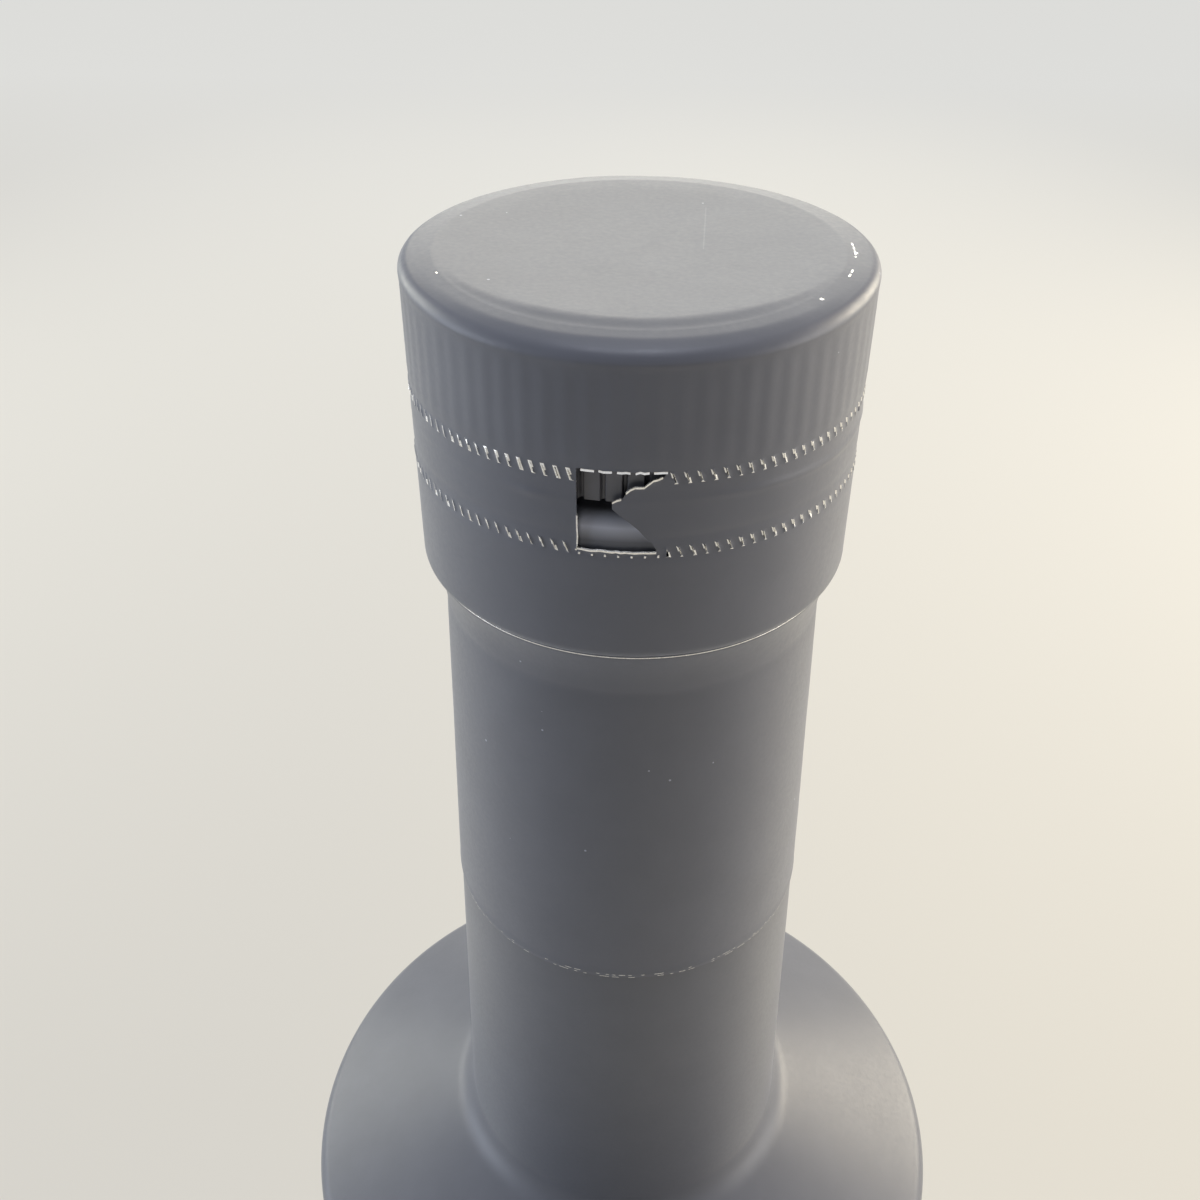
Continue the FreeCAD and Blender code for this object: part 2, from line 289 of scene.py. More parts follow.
def select(piece, kind, test):
    """Select the points, edges or faces for which the test holds, and nothing else."""
    bpy.ops.mesh.select_mode(type=kind)
    bpy.ops.mesh.select_all(action="DESELECT")
    mesh = bmesh.from_edit_mesh(piece.data)
    chosen = {"VERT": mesh.verts, "EDGE": mesh.edges, "FACE": mesh.faces}[kind]
    found = [item for item in chosen if test(item)]
    for item in found:
        item.select_set(True)
    mesh.select_flush_mode()
    bmesh.update_edit_mesh(piece.data)
    if not found:
        raise RuntimeError("nothing to select on " + piece.name)


def select_whole(piece):
    """Leave edit mode with this piece alone selected."""
    start_clean()
    piece.select_set(True)


def middle_of(item):
    """Middle of an edge or a face."""
    total = item.verts[0].co.copy()
    for point in item.verts[1:]:
        total += point.co
    return total / len(item.verts)


def extrude_rings(start, rings):
    """Extrude the selected ring of edges through a list of (radius, height)."""
    radius, height = start
    for next_radius, next_height in rings:
        move = {"value": (0, 0, next_height - height)}
        bpy.ops.mesh.extrude_region_move(TRANSFORM_OT_translate=move)
        factor = next_radius / radius
        bpy.ops.transform.resize(value=(factor, factor, 1), center_override=AXIS)
        radius, height = next_radius, next_height


def turn_about_axis(angle):
    """Turn the selection about the axis, to the right as seen from the front."""
    bpy.ops.transform.rotate(value=-angle, orient_axis="Z", orient_type="GLOBAL",
                             center_override=AXIS)


def move_out(distance, radius):
    """Move the selection, which lies at this radius, away from the axis."""
    factor = 1 + distance / radius
    bpy.ops.transform.resize(value=(factor, factor, 1), center_override=AXIS)


def close_top():
    """Merge the last ring to a point and make every face point outwards."""
    bpy.ops.mesh.merge(type="CENTER")
    bpy.ops.mesh.select_mode(type="VERT")
    bpy.ops.mesh.select_all(action="SELECT")
    bpy.ops.mesh.remove_doubles(threshold=0.001 * MM)
    bpy.ops.mesh.normals_make_consistent(inside=False)


def press(piece, depth, weight, direction="NORMAL"):
    """Press the surface in by depth, weighted by a function of azimuth, height and radius."""
    name = weight.__name__
    group = piece.vertex_groups.new(name=name)
    for point in piece.data.vertices:
        share = weight(azimuth_of(point.co), point.co.z, radius_of(point.co))
        if share > 0.002:
            group.add([point.index], min(share, 1.0), "REPLACE")
    press_in = piece.modifiers.new(name, "DISPLACE")
    press_in.strength = -depth
    press_in.mid_level = 0.0
    press_in.direction = direction
    press_in.vertex_group = name
    bpy.ops.object.modifier_apply(modifier=name)
    piece.vertex_groups.remove(piece.vertex_groups[name])


def roughen(piece, name, size, depth):
    """Give the surface a soft unevenness of a size and a depth."""
    pattern = bpy.data.textures.new(name, "CLOUDS")
    pattern.noise_scale = size
    pattern.noise_depth = 1
    uneven = piece.modifiers.new(name, "DISPLACE")
    uneven.texture = pattern
    uneven.texture_coords = "LOCAL"
    uneven.strength = depth
    uneven.mid_level = 0.5
    bpy.ops.object.modifier_apply(modifier=name)


def bell(distance, width):
    """One at the middle, falling smoothly to nothing within a few widths."""
    return math.exp(-(distance / width) ** 2)


def ease(value, low, high):
    """Nothing below low, one above high, and smooth between."""
    part = min(max((value - low) / (high - low), 0.0), 1.0)
    return part * part * (3 - 2 * part)


def seat_piece(piece, slot_name, *nodes):
    """Tie a finished piece to the frame, in place of CAD nodes. Its slot name is not used."""
    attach(piece, "root")
    if nodes:
        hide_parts(*nodes)


# ---------------------------------------------------------------- finishes

def plain_material(name):
    """A new node material, with its Principled shader."""
    material = bpy.data.materials.new(name)
    material.use_nodes = True
    return material, material.node_tree, material.node_tree.nodes["Principled BSDF"]


def noise(tree, coordinates, scale, detail=2.0):
    """A noise pattern on the piece's own coordinates."""
    node = tree.nodes.new("ShaderNodeTexNoise")
    node.inputs["Scale"].default_value = scale
    node.inputs["Detail"].default_value = detail
    tree.links.new(coordinates, node.inputs["Vector"])
    return node.outputs["Fac"]


def spread(tree, value, low, high, to_low, to_high):
    """Spread a value from one range to another."""
    node = tree.nodes.new("ShaderNodeMapRange")
    node.inputs["From Min"].default_value = low
    node.inputs["From Max"].default_value = high
    node.inputs["To Min"].default_value = to_low
    node.inputs["To Max"].default_value = to_high
    tree.links.new(value, node.inputs["Value"])
    return node.outputs["Result"]


def mottle(tree, place, scale, low, high, detail=2.0):
    """A noise pattern spread from a low to a high value."""
    return spread(tree, noise(tree, place, scale, detail), 0.3, 0.7, low, high)


def shade_between(tree, share, first, second):
    """Mix two colours by a share."""
    node = tree.nodes.new("ShaderNodeMix")
    node.data_type = "RGBA"
    node.inputs["A"].default_value = first
    node.inputs["B"].default_value = second
    tree.links.new(share, node.inputs["Factor"])
    return node.outputs["Result"]


def own_coordinates(tree):
    """The piece's own object coordinates."""
    return tree.nodes.new("ShaderNodeTexCoord").outputs["Object"]


def grain(tree, shader, coordinates, scale, strength):
    """A fine relief, finer than the mesh can hold."""
    bump = tree.nodes.new("ShaderNodeBump")
    bump.inputs["Strength"].default_value = strength
    bump.inputs["Distance"].default_value = 0.02 * MM
    tree.links.new(noise(tree, coordinates, scale, 3.0), bump.inputs["Height"])
    tree.links.new(bump.outputs["Normal"], shader.inputs["Normal"])


def axes(tree, place):
    """The X, Y and Z of a place."""
    split = tree.nodes.new("ShaderNodeSeparateXYZ")
    tree.links.new(place, split.inputs[0])
    return split.outputs


def scaled(colour, factor):
    """A colour made lighter or darker."""
    return (colour[0] * factor, colour[1] * factor, colour[2] * factor, 1.0)


def reckon(tree, operation, first, second):
    """A sum of two values, where the second may be a plain number."""
    node = tree.nodes.new("ShaderNodeMath")
    node.operation = operation
    tree.links.new(first, node.inputs[0])
    if isinstance(second, float):
        node.inputs[1].default_value = second
    else:
        tree.links.new(second, node.inputs[1])
    return node.outputs[0]


def within(tree, value, middle, reach):
    """One where a value lies within reach of its middle, and nothing elsewhere."""
    node = tree.nodes.new("ShaderNodeMath")
    node.operation = "COMPARE"
    node.inputs[1].default_value = middle
    node.inputs[2].default_value = reach
    tree.links.new(value, node.inputs[0])
    return node.outputs[0]


def specks(tree, place, scale, size, few):
    """Tiny light specks, few and far between."""
    cells = tree.nodes.new("ShaderNodeTexVoronoi")
    cells.inputs["Scale"].default_value = scale
    tree.links.new(place, cells.inputs["Vector"])
    split = tree.nodes.new("ShaderNodeSeparateColor")
    tree.links.new(cells.outputs["Color"], split.inputs[0])
    small = reckon(tree, "LESS_THAN", cells.outputs["Distance"], size)
    rare = reckon(tree, "GREATER_THAN", split.outputs[0], few)
    return reckon(tree, "MULTIPLY", small, rare)


def scratch(tree, place, height):
    """One thin straight scratch across the back of the top."""
    lean = -0.057
    right, half_width = 4.62 * MM, 0.055 * MM
    back, half_length = 4.0 * MM, 4.4 * MM
    strength = 0.12
    x, y, z = axes(tree, place)
    across = reckon(tree, "ADD", x, reckon(tree, "MULTIPLY", y, lean))
    line = within(tree, across, right, half_width)
    line = reckon(tree, "MULTIPLY", line, within(tree, y, back, half_length))
    line = reckon(tree, "MULTIPLY", line, reckon(tree, "GREATER_THAN", z, height))
    return reckon(tree, "MULTIPLY", line, strength)


def soft_band(tree, place, height, reach):
    """A soft band round the piece at a height, where a highlight is painted."""
    off = reckon(tree, "SUBTRACT", axes(tree, place)["Z"], height)
    return spread(tree, reckon(tree, "ABSOLUTE", off, 0.0), 0.0, reach, 1.0, 0.0)


def worn_over(tree, shade, share, colour, factor):
    """Lighten a shade by a factor, for wear on the lacquer and for a painted highlight."""
    lightened = shade_between(tree, share, scaled(colour, 1.0), scaled(colour, factor))
    tree.links.new(shade, lightened.node.inputs["A"])
    return lightened


def lacquer(name, colour, rough, relief, marks=None, band=None):
    """Matt slate lacquer, with a low and high roughness and the scale and strength of its grain.

    Marks is a height above which it is scratched, and band one round which a soft highlight is
    painted in lighter lacquer.
    """
    material, tree, shader = plain_material(name)
    place = own_coordinates(tree)
    cloud = mottle(tree, place, 220.0, 0.0, 1.0, detail=8.0)
    shade = shade_between(tree, cloud, scaled(colour, 0.96), scaled(colour, 1.04))
    if marks:
        for share in (specks(tree, place, scale=600.0, size=0.06, few=0.93),
                      scratch(tree, place, marks)):
            shade = worn_over(tree, shade, share, colour, 2.8)
    # Painted highlight: the lacquer is made lighter in a soft band round this height, in place of
    # gloss.
    if band:
        shade = worn_over(tree, shade, soft_band(tree, place, band, 1.1 * MM), colour, 3.6)
    tree.links.new(shade, shader.inputs["Base Color"])
    shader.inputs["Sheen Weight"].default_value = 0.25
    shader.inputs["Sheen Roughness"].default_value = 0.4
    tree.links.new(mottle(tree, place, 2600.0, *rough), shader.inputs["Roughness"])
    grain(tree, shader, place, *relief)
    return material


def bare_foil(colour):
    """Torn aluminium, bright and a little uneven."""
    material, tree, shader = plain_material("bare_foil")
    place = own_coordinates(tree)
    patch = spread(tree, noise(tree, place, 3500.0), 0.35, 0.65, 0.0, 1.0)
    tree.links.new(shade_between(tree, patch, scaled(colour, 0.8), colour),
                   shader.inputs["Base Color"])
    tree.links.new(mottle(tree, place, 1500.0, 0.2, 0.32), shader.inputs["Roughness"])
    shader.inputs["Metallic"].default_value = 1.0
    return material


def dark_plastic(colour):
    """Moulded dark plastic with a faint cloudiness."""
    material, tree, shader = plain_material("stopper_plastic")
    place = own_coordinates(tree)
    cloud = mottle(tree, place, 400.0, 0.0, 1.0)
    tree.links.new(shade_between(tree, cloud, scaled(colour, 0.85), scaled(colour, 1.15)),
                   shader.inputs["Base Color"])
    tree.links.new(mottle(tree, place, 1200.0, 0.28, 0.38), shader.inputs["Roughness"])
    grain(tree, shader, place, 3000.0, 0.15)
    return material


def backdrop_share(tree, part):
    """How much of the even glow is seen, directly, in gloss and through glass."""
    path = tree.nodes.new("ShaderNodeLightPath")
    seen = reckon(tree, "MAXIMUM", path.outputs["Is Camera Ray"], path.outputs["Is Glossy Ray"])
    seen = reckon(tree, "MAXIMUM", seen, path.outputs["Is Transmission Ray"])
    return reckon(tree, "MULTIPLY", seen, part)


def pale_floor(finish):
    """Plain pale floor that keeps the shadow and glows evenly, a little warmer on the right."""
    material, tree, shader = plain_material("pale_floor")
    shader.inputs["Base Color"].default_value = finish.floor_colour
    shader.inputs["Roughness"].default_value = 0.8
    x, y, _ = axes(tree, own_coordinates(tree))
    side = spread(tree, x, -0.15, 0.15, 0.0, 1.0)
    side.node.interpolation_type = "SMOOTHSTEP"
    away = spread(tree, y, 0.14, 1.45, 0.0, 1.0)
    near = shade_between(tree, side, finish.left_glow, finish.right_glow)
    seen = shade_between(tree, away, finish.left_glow, finish.far_glow)
    tree.links.new(near, seen.node.inputs["A"])
    light = tree.nodes.new("ShaderNodeEmission")
    light.inputs["Strength"].default_value = 1.0
    tree.links.new(seen, light.inputs["Color"])
    mix = tree.nodes.new("ShaderNodeMixShader")
    tree.links.new(backdrop_share(tree, FLOOR_GLOW), mix.inputs[0])
    tree.links.new(shader.outputs[0], mix.inputs[1])
    tree.links.new(light.outputs[0], mix.inputs[2])
    tree.links.new(mix.outputs[0], tree.nodes["Material Output"].inputs["Surface"])
    return material


# ---------------------------------------------------------------- the bottle

def bottle_rings(glass):
    """The bottle's outline as rings, from the middle of the base up to the mouth."""
    body = BOTTLE_HIGH.x
    mouth = BOTTLE_HIGH.z
    slope = math.degrees(glass.shoulder_slope)
    dome = (glass.push_up_radius ** 2 + glass.push_up_depth ** 2) / (2 * glass.push_up_depth)
    rings = []
    for step in range(1, 7):
        radius = glass.push_up_radius * step / 6
        fall = dome - math.sqrt(dome ** 2 - radius ** 2)
        rings.append((radius, glass.push_up_depth - fall))
    heel = body - glass.heel_round
    add_line(rings, (heel, 0.0), 3)
    add_arc(rings, (heel, glass.heel_round), glass.heel_round, -90, 0, 10)
    add_line(rings, (body, glass.body_height), 12)
    edge = body - glass.shoulder_round
    add_arc(rings, (edge, glass.body_height), glass.shoulder_round, 0, 90 - slope, 8)

    lip_foot = mouth - glass.lip_height
    neck_foot = lip_foot - glass.neck_length
    neck_top_radius = glass.lip_radius - glass.lip_overhang
    hollow = neck_top_radius + glass.neck_flare + glass.neck_fillet
    start = math.radians(270 - slope)
    add_line(rings, (hollow + glass.neck_fillet * math.cos(start),
                     neck_foot + glass.neck_fillet * math.sin(start)), 8)
    add_arc(rings, (hollow, neck_foot), glass.neck_fillet, 270 - slope, 180, 12)
    add_line(rings, (neck_top_radius, lip_foot), 12)

    under = glass.lip_radius - glass.lip_under_round
    add_line(rings, (under, lip_foot), 2)
    add_arc(rings, (under, lip_foot + glass.lip_under_round), glass.lip_under_round, -90, 0, 4)
    over = glass.lip_radius - glass.lip_top_round
    ring_top = mouth - glass.mouth_height
    round_foot = ring_top - glass.lip_top_round
    add_line(rings, (glass.lip_radius, round_foot), 4)
    add_arc(rings, (over, round_foot), glass.lip_top_round, 0, 90, 8)
    add_line(rings, (glass.mouth_radius, ring_top))
    add_line(rings, (glass.mouth_radius, mouth), 2)
    add_line(rings, (2 * MM, mouth), 4)
    return rings


class WHISKY_OT_bottle(bpy.types.Operator):
    """Turn the glass bottle from its base to its mouth"""

    bl_idname = "whisky.bottle"
    bl_label = "Bottle"

    def execute(self, context):
        glass = context.scene.whisky_glass
        finish = context.scene.whisky_finish
        rings = bottle_rings(glass)
        piece = add_ring("glass_bottle", glass.columns, rings[0], fill="TRIFAN")
        select(piece, "VERT", lambda point: radius_of(point.co) < 0.5 * rings[0][0])
        bpy.ops.transform.translate(value=(0, 0, glass.push_up_depth - rings[0][1]))
        select(piece, "EDGE", lambda edge: len(edge.link_faces) == 1)
        extrude_rings(rings[0], rings[1:])
        close_top()
        select_whole(piece)
        bpy.ops.object.shade_smooth_by_angle(angle=math.radians(50))
        # The band is a painted highlight on the glass ring's rounded top, just under the stopper.
        piece.data.materials.append(
            lacquer("lacquered_glass", finish.glass_colour, rough=(0.38, 0.46),
                    relief=(3000.0, 0.10), band=BOTTLE_HIGH.z - 2.0 * MM))
        seat_piece(piece, "lacquered_glass", "bottle")
        return {"FINISHED"}


# ---------------------------------------------------------------- the capsule

def upper_row(capsule):
    """Height of the upper row of slits."""
    return CAPSULE_HIGH.z - capsule.row_drop


def row_levels(height, capsule):
    """Heights of the rings that a row of slits needs, from its foot to its top."""
    outer = capsule.slit_reach + capsule.slit_margin
    return [height - outer, height - capsule.slit_reach, height,
            height + capsule.slit_reach, height + outer]


def glass_radius(glass, height):
    """Radius of the glass neck at a height."""
    lip_foot = BOTTLE_HIGH.z - glass.lip_height
    down = (lip_foot - height) / glass.neck_length
    return glass.lip_radius - glass.lip_overhang + glass.neck_flare * down


def capsule_rings(capsule, glass):
    """The capsule's outline as rings, from its hem up to the middle of its top."""
    row = upper_row(capsule)
    low_row = row - capsule.row_apart
    lip_foot = BOTTLE_HIGH.z - glass.lip_height
    band = capsule.band_radius

    sleeve_top = lip_foot - 5.2 * MM
    hem = CAPSULE_LOW.z
    rings = [(glass_radius(glass, hem) + capsule.hem_stand, hem)]
    for height in HEM_RINGS:
        rings.append((rings[-1][0] + 0.004 * MM, hem + height))
    shoulder = hem + 0.5 * MM
    rings.append((glass_radius(glass, shoulder) + capsule.sleeve_stand - 0.03 * MM, shoulder))
    add_line(rings, (glass_radius(glass, lip_foot) + capsule.sleeve_stand, sleeve_top), 40)
    foot = lip_foot - FOOT_DROP
    ledge = band - 0.52 * MM
    start = rings[-1]
    for step in range(1, 13):
        part = step / 12
        rings.append((start[0] + (ledge - 0.04 * MM - start[0]) * part ** 2.0,
                      start[1] + (foot - 0.5 * MM - start[1]) * part))
    rings += [(ledge, foot - 0.4 * MM), (ledge, foot + CREASE_RINGS[0]),
              (ledge, foot + CREASE_RINGS[1]), (ledge - 0.11 * MM, foot - 0.05 * MM),
              (ledge - 0.11 * MM, foot + 0.01 * MM), (ledge + 0.08 * MM, foot + 0.02 * MM)]
    corner = 0.9 * MM
    add_arc(rings, (band - corner, foot + 0.75 * MM), corner, -52, 0, 7)

    low_levels = row_levels(low_row + capsule.slit_rise, capsule)
    add_line(rings, (band, low_levels[0]), 12)
    rings += [(band - 0.01 * MM, level) for level in low_levels[1:]]
    nip = capsule.side_radius - capsule.row_nip
    high_levels = row_levels(row + capsule.slit_rise, capsule)
    add_line(rings, (nip, high_levels[0]), 26)
    rings += [(nip, level) for level in high_levels[1:]]

    widest = row + capsule.rim_height
    top = row + capsule.edge_height
    add_line(rings, (capsule.side_radius, high_levels[-1] + 0.8 * MM), 3)
    add_line(rings, (capsule.side_radius, widest - 0.6 * MM), 14)
    add_line(rings, (capsule.rim_radius, widest), 3)
    add_arc(rings, (capsule.rim_radius - capsule.rim_round, widest), capsule.rim_round,
            0, math.degrees(capsule.rim_turn), 8)
    add_line(rings, (capsule.edge_radius, top), 14)
    add_line(rings, (capsule.front_edge - 0.6 * MM, top - 0.02 * MM), 11)
    reach = rings[-1][0]
    for step in range(1, 15):
        part = 1 - step / 15
        rings.append((reach * part, top - 0.02 * MM - capsule.dish_depth * (1 - part ** 2)))
    return rings


class Wall:
    """Finds places on the capsule's wall by column and level."""

    def __init__(self, capsule):
        self.capsule = capsule
        self.pitch = math.tau / capsule.columns
        self.slits = (capsule.columns - capsule.tear_columns) // 3
        self.tolerance = 0.02 * MM
        self.row = upper_row(capsule)
        self.high = self.row + capsule.slit_rise
        self.low = self.row - capsule.row_apart + capsule.slit_rise
        self.tear_top = self.high + capsule.slit_reach + capsule.slit_margin

    def column(self, place):
        """Column of a place, counted to the right from the tear window's right side."""
        steps = (azimuth_of(place) - self.capsule.tear_start) / self.pitch
        return steps % self.capsule.columns

    def signed_column(self, place):
        """Column of a place, from minus a half turn to a half turn."""
        column = self.column(place)
        return column - self.capsule.columns if column > self.capsule.columns / 2 else column

    def at_level(self, place, height):
        """Whether a place lies on a level."""
        return abs(place.z - height) < self.tolerance


def is_slit_side(column, first, count):
    """Whether a column is the left or the right side of a slit."""
    steps = round(column - first)
    return abs(column - first - steps) <= 0.2 and 0 <= steps < 3 * count and steps % 3 < 2


def cut_row(piece, wall, height, first):
    """Lean the walls of a row of slits, raise their lips and open them."""
    capsule = wall.capsule
    for side, lean in ((1, -capsule.slit_lean), (-1, capsule.slit_lean)):
        level = height + side * capsule.slit_reach
        select(piece, "VERT", lambda point: wall.at_level(point.co, level)
               and is_slit_side(wall.column(point.co), first, wall.slits))
        turn_about_axis(lean * wall.pitch)

    def in_slit(face):
        middle = middle_of(face)
        if abs(middle.z - height) > capsule.slit_reach:
            return False
        lean = -(middle.z - height) / capsule.slit_reach * capsule.slit_lean
        steps = wall.column(middle) - lean - first
        return 0 <= steps < 3 * wall.slits and abs(steps % 3 - 0.5) < 0.3

    select(piece, "FACE", in_slit)
    bpy.ops.mesh.inset(thickness=capsule.slit_lip, depth=0.0, use_even_offset=True)
    move_out(capsule.slit_lift, capsule.band_radius)
    bpy.ops.transform.vertex_random(offset=0.035 * MM, seed=round(height / MM))
    bpy.ops.mesh.delete(type="FACE")


# The torn tab's edges: azimuth in degrees and height in millimetres from the row above.
TAB_TOP = ((-5.2, -1.73), (-2.74, -1.30), (-0.97, -0.73), (0.78, -0.49), (2.34, -0.34),
           (3.85, 0.04), (6.04, 0.32), (7.3, 0.45))
TAB_FOOT = ((-5.2, -1.92), (-2.69, -2.63), (-0.40, -3.16), (1.45, -3.70), (3.08, -4.35),
            (4.72, -4.75), (5.3, -5.2), (7.3, -5.2))


def along(table, degrees):
    """Height in millimetres, read from a table of (azimuth, height)."""
    for (low, first), (high, second) in zip(table, table[1:]):
        if degrees <= high:
            part = max((degrees - low) / (high - low), 0.0)
            return first + (second - first) * part
    return table[-1][1]


def lean_tab(piece, wall):
    """Taper the strip's torn end into a pointed tab with a ragged upper edge."""
    capsule = wall.capsule
    top_level = wall.high + capsule.slit_reach
    foot_level = wall.low + capsule.slit_reach
    uneven = random.Random(4)
    for step in range(1, capsule.tab_columns + 1):
        degrees = math.degrees(capsule.tear_start - step * wall.pitch)
        top = wall.row + along(TAB_TOP, degrees) * MM
        foot = wall.row + along(TAB_FOOT, degrees) * MM
        if step < capsule.tab_columns:
            top += uneven.uniform(-0.12, 0.12) * MM
        scale = (top - foot) / (top_level - foot_level)
        centre = (top - scale * top_level) / (1 - scale)
        column = capsule.columns - step
        select(piece, "VERT", lambda point: abs(wall.column(point.co) - column) < 0.3
               and foot_level - wall.tolerance < point.co.z < top_level + wall.tolerance)
        bpy.ops.transform.resize(value=(1, 1, scale), center_override=(0, 0, centre))


def tear_window(piece, wall):
    """Take the torn part of the strip away and leave the pointed tab on its right."""
    width = wall.capsule.tear_columns
    tab = wall.capsule.tab_columns
    tab_top = wall.high + wall.capsule.slit_reach
    tab_foot = wall.low + wall.capsule.slit_reach

    def torn_away(face):
        middle = middle_of(face)
        column = wall.signed_column(middle)
        if not (-width < column < 0 and wall.low < middle.z < wall.tear_top):
            return False
        if column < -tab:
            return True
        return middle.z > tab_top or (middle.z < tab_foot and column < -2)

    select(piece, "FACE", torn_away)
    bpy.ops.mesh.delete(type="FACE")
    select(piece, "VERT", lambda point: wall.at_level(point.co, wall.low)
           and -width - 0.3 < wall.signed_column(point.co) < -1.7)
    bpy.ops.transform.translate(value=(0, 0, -0.12 * MM))
    bpy.ops.transform.vertex_random(offset=0.06 * MM, seed=11)
    lean_tab(piece, wall)
    select(piece, "VERT", lambda point: wall.at_level(point.co, wall.tear_top)
           and -width + 0.7 < wall.signed_column(point.co) < -0.7)
    bpy.ops.transform.vertex_random(offset=0.08 * MM, seed=7)


def edge_in_window(wall):
    """A test for the open edges of the tear window."""
    def test(edge):
        if len(edge.link_faces) != 1:
            return False
        middle = middle_of(edge)
        column = wall.signed_column(middle)
        return (-wall.capsule.tear_columns - 0.3 < column < 0.3
                and wall.low - 0.3 * MM < middle.z < wall.tear_top + 0.15 * MM)

    return test


def curl_edges(piece, wall):
    """Curl the torn edges of the window outwards, in bare foil."""
    capsule = wall.capsule
    in_window = edge_in_window(wall)

    def level(edge):
        first, second = edge.verts
        across = abs(azimuth_of(first.co) - azimuth_of(second.co)) * capsule.band_radius
        return abs(first.co.z - second.co.z) < across

    def on_foot(edge):
        return in_window(edge) and level(edge) and middle_of(edge).z < wall.low + 0.3 * MM

    def on_top(edge):
        middle = middle_of(edge)
        return (in_window(edge) and level(edge) and middle.z > wall.tear_top - 0.12 * MM
                and (round(wall.signed_column(middle) * 2) // 2) % 4 != 0)

    def on_tab(edge):
        middle = middle_of(edge)
        degrees = math.degrees(azimuth_of(middle))
        line = wall.row + along(TAB_TOP, degrees) * MM
        return (in_window(edge) and level(edge) and -5.0 < degrees < 7.3
                and abs(middle.z - line) < 0.2 * MM and middle.z < wall.tear_top - 0.15 * MM)

    def on_left(edge):
        middle = middle_of(edge)
        return (in_window(edge) and not level(edge)
                and wall.signed_column(middle) < 0.6 - capsule.tear_columns
                and middle.z < wall.low + 2.6 * MM)

    for test, out, rise in ((on_foot, 0.06, 0.17), (on_top, 0.07, -0.13), (on_tab, 0.06, 0.17),
                            (on_left, 0.12, 0.0)):
        select(piece, "EDGE", test)
        bpy.ops.mesh.extrude_region_move(
            TRANSFORM_OT_translate={"value": (0, 0, rise * MM)})
        move_out(out * MM, capsule.band_radius)
        bpy.ops.mesh.select_more()
        piece.active_material_index = 1
        bpy.ops.object.material_slot_assign()


def paint_bare(piece, test):
    """Give the bare foil to the faces for which the test holds."""
    mesh = bmesh.from_edit_mesh(piece.data)
    for face in mesh.faces:
        if test(face):
            face.material_index = 1
    bmesh.update_edit_mesh(piece.data)


def torn_lip(wall, rows):
    """A test for the torn lips of the slits, which vary round the two rows."""
    capsule = wall.capsule
    lip = capsule.slit_lip / (wall.pitch * capsule.band_radius)
    chance = random.Random(21)
    luck = [chance.random() for _ in range(2 * (wall.slits + 8))]

    def test(face):
        middle = middle_of(face)
        for number, (height, first) in enumerate(rows):
            up = (middle.z - height) / capsule.slit_reach
            steps = wall.column(middle) + up * capsule.slit_lean - first
            if abs(up) > 1.0 or not 0 <= steps < 3 * wall.slits:
                continue
            across = steps % 3 - 0.5
            if abs(across) > 0.5 or abs(across) < 0.5 - 1.6 * lip and abs(up) < 0.75:
                continue
            crumpled = -38 < math.degrees(azimuth_of(middle)) < -13
            chunky = crumpled and number == 0
            thin = crumpled and number == 1
            tick = across < -0.1 and up > 0.1
            dot = up < -0.8
            tail = across > 0.1 and -0.9 < up < 0.0
            lucky = luck[2 * int(steps // 3) + number] > 0.6
            if tick or (dot and not thin) or (chunky and not tail) or (tail and lucky):
                return True
        return False

    return test


def slit_end(wall):
    """A test for the places where the slits end, under the foot of the window."""
    def test(face):
        middle = middle_of(face)
        column = wall.signed_column(middle)
        return (-wall.capsule.tear_columns < column < 0 and int(-column) % 3 == 1
                and wall.low - wall.capsule.slit_reach < middle.z < wall.low - 0.12 * MM)

    return test


def scuffed(glass, row):
    """A test for painted highlight lines of bare foil along the hem and the crease under the band,
    and for an arc on the rim and a few specks.
    """
    hem = CAPSULE_LOW.z
    crease = BOTTLE_HIGH.z - glass.lip_height - FOOT_DROP + sum(CREASE_RINGS) / 2
    hem_lines = ((hem + HEM_RINGS[0] / 2, 0.6), (hem + sum(HEM_RINGS[1:]) / 2, 0.8))
    # Azimuth in degrees, radius and height in millimetres of each speck.
    spots = ((-66, 14.9, 9.6), (2, 8.1, 9.5), (30, 11.0, 9.5), (52, 15.2, 9.6), (86, 15.4, 9.5))
    arc_radius = 15.32 * MM
    chance = random.Random(8)

    def test(face):
        middle = middle_of(face)
        degrees = math.degrees(azimuth_of(middle))
        radius = radius_of(middle)
        # The crease line and the hem lines are painted highlights, bare foil in place of light caught
        # along them.
        if abs(middle.z - crease) < 0.02 * MM:
            return True
        for height, missing in hem_lines:
            if abs(middle.z - height) < 0.01 * MM:
                return chance.random() > missing
        on_arc = abs(radius - arc_radius) < 0.07 * MM and middle.z > row + TOP_RISE
        if on_arc and 62 < degrees < 94 and chance.random() < 0.5:
            return True
        return any(abs(degrees - azimuth) < 0.55 and abs(radius - reach * MM) < 0.09 * MM
                   and abs(middle.z - row - height * MM) < 0.2 * MM
                   for azimuth, reach, height in spots)

    return test


